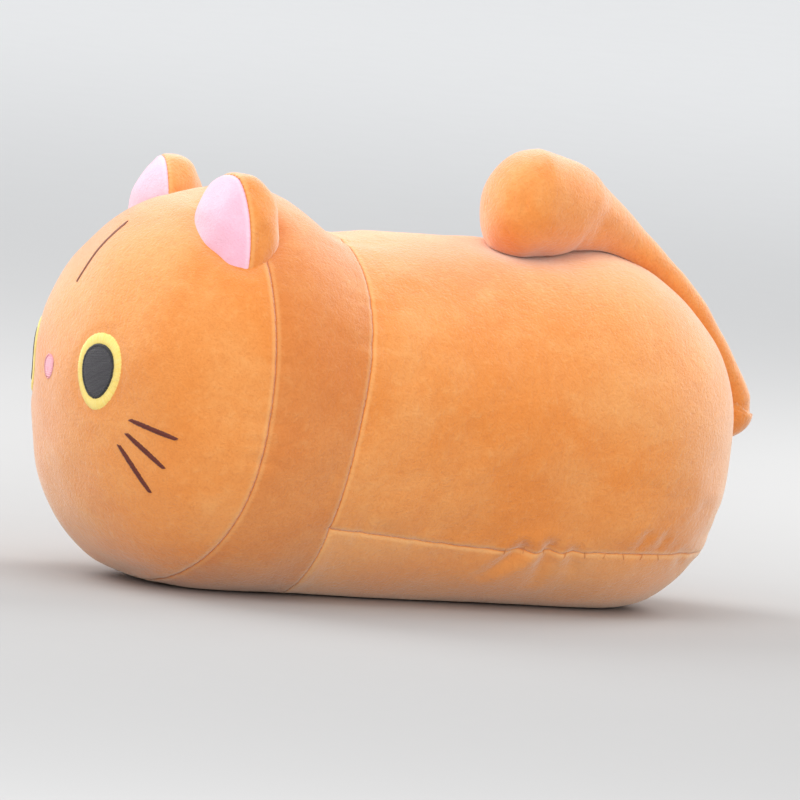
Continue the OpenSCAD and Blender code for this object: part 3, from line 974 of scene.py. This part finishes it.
def fill_rows(spot, share, pitch, height, material, seed, stitch, slant):
    """Rows of short running stitches that fill an egg shape, each row stepped against the last."""
    rng = np.random.default_rng(seed)
    wide, tall = spot.wide, spot.tall
    rows = int(math.hypot(wide, tall) * share / pitch)
    u = (np.arange(rows) + 0.5) / rows * 2 - 1
    reach = math.hypot(wide, tall) / 2 * share
    count = 34
    along_way = np.array([math.cos(slant), math.sin(slant)])
    over_way = np.array([-along_way[1], along_way[0]])
    paths, tones = [], []
    for i, v in enumerate(u * reach):
        t = np.linspace(-reach, reach, 200)
        x, z = t * along_way[0] + v * over_way[0], t * along_way[1] + v * over_way[1]
        up = z / (tall / 2 * share)
        within = (x / (wide / 2 * share * (1 + EGG * np.clip(up, -1, 1)))) ** 2 + up ** 2 < 1
        if within.sum() < 4:
            continue
        ends = t[within][[0, -1]]
        t = np.linspace(*ends, count)
        x, z = t * along_way[0] + v * over_way[0], t * along_way[1] + v * over_way[1]
        step = (t + (i % 3) * stitch / 3 + rng.uniform(-0.2, 0.2)) / stitch
        sunk = np.abs(step - np.round(step)) < 0.13
        edge = np.minimum(t - ends[0], ends[1] - t)
        h = height - 0.26 * sunk - 0.5 * np.exp(-edge / 0.35)
        paths.append(on_face(spot.azimuth + FACE_DEGREE * x, spot.rise + FACE_DEGREE * z, h))
        tones.append(rng.uniform(0, 1))
    return tubes("rows", np.array(paths), 0.24, material, sides=5, tone=np.array(tones))


def stem_line(name, stations, wide, height, material, seed, pitch=0.36, slant=1.3):
    """A line of slanting stitches through stations (azimuth, rise), its width given at each."""
    rng = np.random.default_rng(seed)
    run = np.concatenate([[0], np.cumsum(np.hypot(*np.diff(stations, axis=0).T))]) / FACE_DEGREE
    count = int(run[-1] / pitch)
    s = (np.arange(count) + rng.uniform(-0.12, 0.12, count) + 0.5) * run[-1] / count
    way = unit(np.gradient(stations, axis=0))
    parts = [np.interp(s, run, v) for v in (stations[:, 0], stations[:, 1], way[:, 0], way[:, 1], wide)]
    az, el, ax, el_way, w = [v[:, None] for v in parts]
    t = np.linspace(-1, 1, 7)[None, :]
    ragged = 1 + rng.uniform(-0.12, 0.12, (count, 1))
    x = w / 2 * t * ragged
    over = FACE_DEGREE * x
    ahead = FACE_DEGREE * slant * t * w / 2
    a = az - over * el_way + ahead * ax
    e = el + over * ax + ahead * el_way
    h = mix(-0.35, height, np.sqrt(np.maximum(1 - t * t, 0))) + 0 * w
    return tubes(name, on_face(a, e, h), 0.26, material, tone=rng.uniform(0, 1, count))


def join(name, pieces):
    """Makes one object of several."""
    with bpy.context.temp_override(active_object=pieces[0], selected_editable_objects=pieces,
                                   selected_objects=pieces):
        bpy.ops.object.join()
    pieces[0].name = name
    return pieces[0]


def make_eye(side, name):
    spot = Spot(EYE_AZIMUTH * side, EYE_RISE, EYE_WIDTH, EYE_HEIGHT)
    under = padded_patch(spot, 0.985, 0.25, "yellow_thread", 0.3)
    ring = satin_ring(spot, PUPIL_SHARE, 1.0, 0.4, 0.62, "yellow_thread", 21)
    hand_in(join(f"eye_{name}_iris_thread", [ring, under]), f"eye_{name}_iris", "body")
    base = padded_patch(spot, PUPIL_SHARE, 0.5, "charcoal_thread", 0.2)
    rows = fill_rows(spot, 0.66, 0.42, 0.8, "charcoal_thread", 31, stitch=3.2, slant=0.5 * side)
    edge = satin_ring(spot, 0.6, 0.71, 0.42, 0.95, "edge_thread", 41)
    pupil = join(f"eye_{name}_pupil_thread", [rows, base, edge])
    hand_in(pupil, f"eye_{name}_pupil", "body")


def make_whiskers(side, name):
    t = np.linspace(0, 1, 30)
    wide = WHISKER_WIDTH * (1 - 0.45 * np.abs(2 * t - 1) ** 3)
    lines = []
    for k, (az, el, az_end, el_end) in enumerate(WHISKERS):
        stations = np.stack([mix(az, az_end, t) * side, mix(el, el_end, t)], 1)
        lines.append(stem_line(f"whisker_{k}", stations, wide, 0.5, "brown_thread", 71 + k))
    hand_in(join(f"whiskers_{name}_thread", lines), f"whiskers_{name}", "body")


def make_face():
    for side, name in SIDES:
        make_eye(side, name)
    spot = Spot(0, NOSE_RISE, NOSE_WIDTH, NOSE_TALL)
    base = padded_patch(spot, 1.0, 0.45, "nose_thread", 0.3)
    rows = fill_rows(spot, 0.95, 0.34, 0.55, "nose_thread", 51, stitch=40, slant=0.0)
    hand_in(join("nose_thread_patch", [rows, base]), "nose", "body")
    t = np.linspace(0, 1, 30)
    stripe = stem_line("forehead_stripe_thread", np.stack([0 * t, mix(*STRIPE, t)], 1),
                       mix(0.8, 2.7, smooth(t * 1.2)), 0.4, "stripe_thread_painted_rim_light", 61)
    hand_in(stripe, "forehead_stripe", "body")
    for side, name in SIDES:
        make_whiskers(side, name)


def make_stitches():
    """The ladder stitches that close the stuffing opening, half buried in the seam."""
    low, high = box_mm("closing_stitches")
    t = np.linspace(-1, 1, 7)
    paths = []
    for k, y in enumerate(np.linspace(low[1] + 0.6, high[1] - 0.6, 9)):
        place = np.array([side_point(y + 0.7 * math.sin(3 * k) * v, BELLY_SEAM - 1 + 1.5 * v) for v in t])
        offset, _ = relief(place, ("belly",))
        paths.append(place + body_normal(place) * (offset + 0.25 - 0.5 * t * t)[:, None])
    piece = tubes("closing_stitch_thread", np.array(paths), 0.3, "sewing_thread")
    hand_in(piece, "closing_stitches", "body")


# ---- materials ----


class Nodes:
    """Short ways to build a material's nodes."""

    def __init__(self, name):
        self.material = bpy.data.materials.new(name)
        self.material.use_nodes = True
        self.tree = self.material.node_tree
        self.shader = self.tree.nodes["Principled BSDF"]

    def add(self, kind, **inputs):
        node = self.tree.nodes.new(kind)
        for key, value in inputs.items():
            self.put(node.inputs[key.replace("_", " ")], value)
        return node

    def put(self, socket, value):
        if isinstance(value, bpy.types.NodeSocket):
            self.tree.links.new(value, socket)
        else:
            socket.default_value = value

    def attribute(self, name):
        node = self.add("ShaderNodeAttribute")
        node.attribute_name = name
        return node

    def noise(self, where, scale, detail=2.0, roughness=0.5, distortion=0.0):
        return self.add("ShaderNodeTexNoise", Vector=where, Scale=scale, Detail=detail,
                        Roughness=roughness, Distortion=distortion).outputs["Fac"]

    def ramp(self, value, low, high, out_low=0.0, out_high=1.0):
        node = self.add("ShaderNodeMapRange")
        node.interpolation_type = "SMOOTHSTEP"
        for key, v in (("Value", value), ("From Min", low), ("From Max", high), ("To Min", out_low),
                       ("To Max", out_high)):
            self.put(node.inputs[key], v)
        return node.outputs["Result"]

    def blend(self, share, a, b):
        node = self.add("ShaderNodeMix")
        node.data_type = "RGBA"
        for socket, value in ((0, share), (6, a), (7, b)):
            self.put(node.inputs[socket], value)
        return node.outputs[2]

    def times(self, a, b):
        node = self.add("ShaderNodeMath")
        node.operation = "MULTIPLY"
        self.put(node.inputs[0], a)
        self.put(node.inputs[1], b)
        return node.outputs[0]

    def finish(self, colour, normal=None, **numbers):
        """Joins up the shader and sets its plain numbers."""
        self.put(self.shader.inputs["Base Color"], colour)
        if normal is not None:
            self.put(self.shader.inputs["Normal"], normal)
        for key, value in numbers.items():
            self.shader.inputs[key.replace("_", " ")].default_value = value
        return self.material

    def stretch(self, where, scale, turn=(0, 0, 0)):
        node = self.add("ShaderNodeMapping", Vector=where)
        node.inputs["Scale"].default_value = scale
        node.inputs["Rotation"].default_value = turn
        return node.outputs["Vector"]

    def bump(self, height, distance, strength, before=None):
        node = self.add("ShaderNodeBump", Height=height, Distance=distance, Strength=strength)
        if before is not None:
            self.put(node.inputs["Normal"], before)
        return node.outputs["Normal"]


def linear(r, g, b):
    """A linear colour from screen values of 0 to 255."""
    return tuple(((v / 255 + 0.055) / 1.055) ** 2.4 if v > 10 else v / 3294 for v in (r, g, b)) + (1.0,)


def plush(name, base, light, deep, sheen, sheen_tint=(1.0, 0.92, 0.82, 1.0), pile=1.0):
    """Short velvety pile: mottled nap, brushed patches, fine tufts, painted shade in the groove of each seam
    and a painted highlight on the soft rolled edge beside it.
    """
    n = Nodes(name)
    where = n.attribute("cloth").outputs["Vector"]
    broad = n.ramp(n.noise(where, 11, 3, 0.55, 0.8), 0.36, 0.66)
    brushed = n.ramp(n.noise(n.stretch(where, (30, 22, 34), (0.5, 0.3, 0.2)), 1.0, 4, 0.62, 0.9), 0.5, 0.72)
    mottle = n.noise(where, 230 * pile, 3, 0.62, 0.4)
    tufts = n.noise(where, 800 * pile, 2, 0.65)
    grain = n.noise(where, 2400 * pile, 2, 0.6)
    colour = n.blend(n.times(broad, 0.3), base, light)
    colour = n.blend(n.times(brushed, 0.26), colour, light)
    colour = n.blend(n.ramp(mottle, 0.5, 0.74, 0.0, 0.2), colour, light)
    colour = n.blend(n.ramp(mottle, 0.26, 0.5, 0.15, 0.0), colour, deep)
    colour = n.blend(n.ramp(tufts, 0.34, 0.56, 0.18, 0.0), colour, deep)
    seam = n.attribute("seam").outputs["Fac"]
    # painted shade: the deep colour darkens the groove along each seam
    colour = n.blend(n.ramp(seam, 0.05, 0.6, 0.6, 0.0), colour, deep)
    # painted highlight: the light colour brightens the rolled shoulder of cloth beside each seam
    painted_seam_highlight = n.times(n.ramp(seam, 0.35, 0.9), n.ramp(seam, 1.2, 3.0, 1.0, 0.0))
    colour = n.blend(n.times(painted_seam_highlight, 0.45), colour, light)
    soft = n.bump(mottle, 0.0011, 0.35)
    fine = n.bump(tufts, 0.001, 0.5, soft)
    return n.finish(colour, n.bump(grain, 0.0005, 0.4, fine), Roughness=0.92, Specular_IOR_Level=0.15,
                    Sheen_Weight=sheen, Sheen_Roughness=0.5, Sheen_Tint=sheen_tint)


def thread(name, base, light, shine):
    """Lustrous embroidery thread, a little different from strand to strand, with its own twist."""
    n = Nodes(name)
    where = n.attribute("cloth").outputs["Vector"]
    tone = n.attribute("tone").outputs["Fac"]
    twist = n.noise(n.stretch(where, (2200, 2200, 2200)), 1.0, 2, 0.6)
    colour = n.blend(n.times(tone, 0.45), base, light)
    colour = n.blend(n.ramp(twist, 0.4, 0.65, 0.0, 0.35), colour, light)
    return n.finish(colour, n.bump(twist, 0.0002, 0.5), Roughness=0.5, Specular_IOR_Level=shine,
                    Sheen_Weight=0.25)


def fibre(name):
    """Loose white polyester filling."""
    n = Nodes(name)
    where = n.attribute("cloth").outputs["Vector"]
    curl = n.noise(where, 240, 5, 0.7, 2.5)
    colour = n.blend(curl, linear(226, 224, 216), linear(250, 249, 246))
    return n.finish(colour, n.bump(curl, 0.003, 0.9), Roughness=0.95, Sheen_Weight=0.4)


def make_materials():
    """The materials by name. Each cloth has a base, a light and a deep colour, each thread two."""
    made = {"fibre_fill": fibre("fibre_fill")}
    for name, base, light, deep, sheen, more in (
            ("orange_plush", (232, 140, 60), (246, 183, 115), (204, 106, 35), 0.9, {}),
            ("band_plush", (218, 128, 58), (236, 170, 104), (190, 97, 35), 0.8, {}),
            # the belly's cloth is the orange plush drawn lighter: painted light standing in for light bounced
            # up onto the belly from below
            ("belly_plush", (242, 156, 80), (250, 194, 130), (216, 122, 52), 0.9, {}),
            ("pink_plush", (247, 188, 207), (253, 216, 230), (238, 172, 196), 0.6,
             {"sheen_tint": (1.0, 0.95, 0.97, 1.0), "pile": 1.3})):
        made[name] = plush(name, linear(*base), linear(*light), linear(*deep), sheen, **more)
    for name, base, light, shine in (
            ("yellow_thread", (248, 218, 108), (254, 238, 160), 0.35),
            ("charcoal_thread", (52, 50, 54), (98, 96, 100), 0.5),
            ("edge_thread", (26, 25, 28), (48, 46, 50), 0.5),
            ("nose_thread", (240, 164, 178), (250, 194, 204), 0.35),
            ("brown_thread", (84, 26, 14), (122, 50, 30), 0.35),
            # the stripe is the whiskers' brown thread drawn lighter: painted rim light and sheen washing over
            # the line
            ("stripe_thread_painted_rim_light", (116, 70, 52), (168, 112, 84), 0.35),
            ("sewing_thread", (218, 138, 72), (236, 168, 106), 0.35)):
        made[name] = thread(name, linear(*base), linear(*light), shine)
    return made


MATERIALS = make_materials()


# ---- stage, lights and camera ----

VIEW_AZIMUTH, VIEW_ELEVATION, VIEW_TILT = 67.0, 5.0, 5.0
VIEW_HEIGHT = 90.0
VIEW_WIDTH = 1.045    # width of the view as a share of the cat's length
FLOOR_RADIUS = 9000


def make_stage():
    """A pale round floor, wide enough to fill the view, that grows lighter away from the cat: painted shade
    near the cat and painted light far off, to even out the lamps' falloff.
    """
    n = Nodes("stage_paper")
    grain = n.noise(n.add("ShaderNodeTexCoord").outputs["Object"], 40, 3)
    far = n.add("ShaderNodeVectorMath", Vector=n.add("ShaderNodeTexCoord").outputs["Object"])
    far.operation = "LENGTH"
    # painted shade near the cat and painted light far from it, evening out the lamps' falloff
    paper_painted_falloff = n.blend(n.ramp(far.outputs["Value"], 0.0, 3.6), linear(170, 169, 168), linear(252, 252, 251))
    colour = n.blend(n.times(grain, 0.06), paper_painted_falloff, linear(190, 190, 189))
    MATERIALS["stage_paper"] = n.finish(colour, Roughness=0.9, Specular_IOR_Level=0.1)
    q = np.linspace(0, 2 * np.pi, 96, endpoint=False)
    rim = FLOOR_RADIUS * np.stack([np.cos(q), np.sin(q), 0 * q], -1)
    mesh_object("floor", rim, [list(range(len(q)))], "stage_paper")


def area_light(name, azimuth, elevation, distance, size, power):
    light = bpy.data.lights.new(name, "AREA")
    light.shape, light.size, light.energy = "DISK", size, power
    obj = bpy.data.objects.new(name, light)
    way = Vector(heading(azimuth, elevation))
    obj.location = Vector((0, 0, 0.08)) + way * distance
    obj.rotation_euler = way.to_track_quat("Z", "Y").to_euler()
    bpy.context.scene.collection.objects.link(obj)


def make_lights():
    world = bpy.data.worlds.new("studio")
    bpy.context.scene.world = world
    world.use_nodes = True
    back = world.node_tree.nodes["Background"]
    back.inputs["Color"].default_value = (0.96, 0.975, 1.0, 1.0)
    back.inputs["Strength"].default_value = 0.86
    area_light("key", VIEW_AZIMUTH - 34, 46, 1.6, 0.9, 3.3)
    area_light("fill", VIEW_AZIMUTH + 6, 6, 1.9, 1.0, 11.5)
    area_light("top", VIEW_AZIMUTH + 10, 84, 1.2, 0.9, 3.6)
    area_light("rim_left", VIEW_AZIMUTH - 120, 35, 1.3, 0.8, 10.5)
    area_light("rim_right", VIEW_AZIMUTH + 135, 34, 1.3, 0.7, 9)


def make_camera():
    """Looks at the cat's left side and face, far off through a long lens that flattens depth."""
    data = bpy.data.cameras.new("camera")
    data.lens, data.sensor_width = 1200, 36
    obj = bpy.data.objects.new("camera", data)
    back = Vector(heading(VIEW_AZIMUTH, VIEW_ELEVATION))
    low, high = cad_box
    middle = Vector(((low.x + high.x) / 2, (low.y + high.y) / 2, VIEW_HEIGHT * MM))
    distance = VIEW_WIDTH * (high.y - low.y) * data.lens / data.sensor_width
    obj.location = middle + back * distance
    obj.rotation_mode = "QUATERNION"
    obj.rotation_quaternion = ((-back).to_track_quat("-Z", "Y")
                               @ Quaternion((0, 0, 1), math.radians(VIEW_TILT)))
    data.clip_start, data.clip_end = 0.05, 50
    bpy.context.scene.collection.objects.link(obj)
    bpy.context.scene.camera = obj


# ---- everything together ----

PLUMP = press_body()
make_camera()
make_stage()
make_lights()
make_body()
make_stuffing()
make_ears()
make_tail()
make_face()
make_stitches()

bpy.context.scene.view_settings.view_transform = "Standard"
